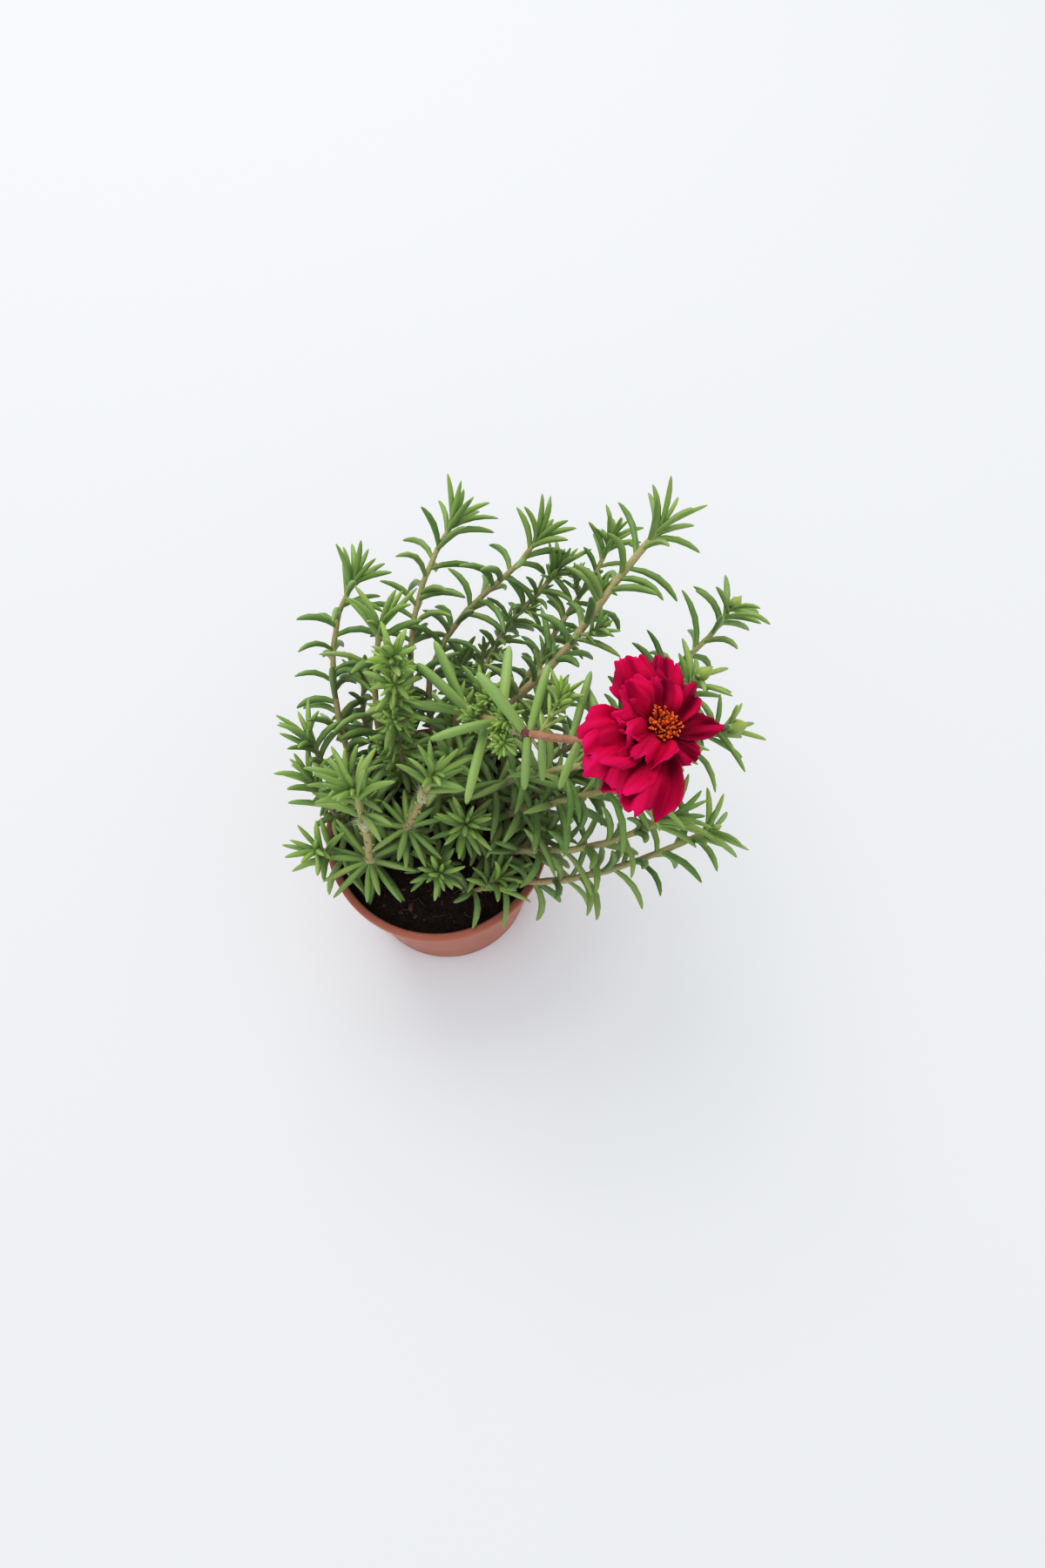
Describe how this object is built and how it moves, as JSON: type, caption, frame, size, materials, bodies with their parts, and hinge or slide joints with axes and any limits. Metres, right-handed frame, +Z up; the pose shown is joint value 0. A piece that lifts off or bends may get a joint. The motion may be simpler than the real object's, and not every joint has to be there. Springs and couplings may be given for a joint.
{
  "type": "potted moss rose",
  "caption": "Small round plastic nursery pot of soil with arching, leafy succulent stems, a few closed buds and one ruffled crimson bloom.",
  "frame": {"origin": "centre of the pot's underside, on the surface that it stands on", "axes": "+Z up; +X towards the side that the bloom leans to; -Y towards the front, where the soil shows"},
  "size_m": [0.2145, 0.1909, 0.2226],
  "materials": {
    "clay_plastic": "satin moulded plastic",
    "soil": "damp crumbly peat",
    "leaf": "fleshy, faint waxy sheen",
    "petal": "silky velvet petal",
    "stamen": "powdery pollen"
  },
  "bodies": {
    "root": {"bloom": "petal", "flower_stem": "leaf", "pot": "clay_plastic", "short_stem_back": "leaf", "short_stem_behind": "leaf", "short_stem_centre": "leaf", "short_stem_front": "leaf", "short_stem_left": "leaf", "short_stem_left_back": "leaf", "short_stem_left_front": "leaf", "short_stem_right": "leaf", "short_stem_right_rim": "leaf", "soil": "soil", "stamens": "stamen", "stem_back_left": "leaf", "stem_back_middle": "leaf", "stem_back_right": "leaf", "stem_budded_lower": "leaf", "stem_budded_middle": "leaf", "stem_budded_upper": "leaf", "stem_centre": "leaf", "stem_centre_back": "leaf", "stem_centre_right": "leaf", "stem_far_right": "leaf", "stem_front_left": "leaf", "stem_front_middle": "leaf", "stem_left_arch": "leaf", "stem_left_back": "leaf", "stem_left_inner": "leaf", "stem_left_outer": "leaf", "stem_right_front": "leaf", "stem_right_middle": "leaf", "stem_right_sweep": "leaf", "stem_right_upper": "leaf", "stem_tall_middle": "leaf", "stem_tall_right": "leaf"}
  },
  "joints": []
}
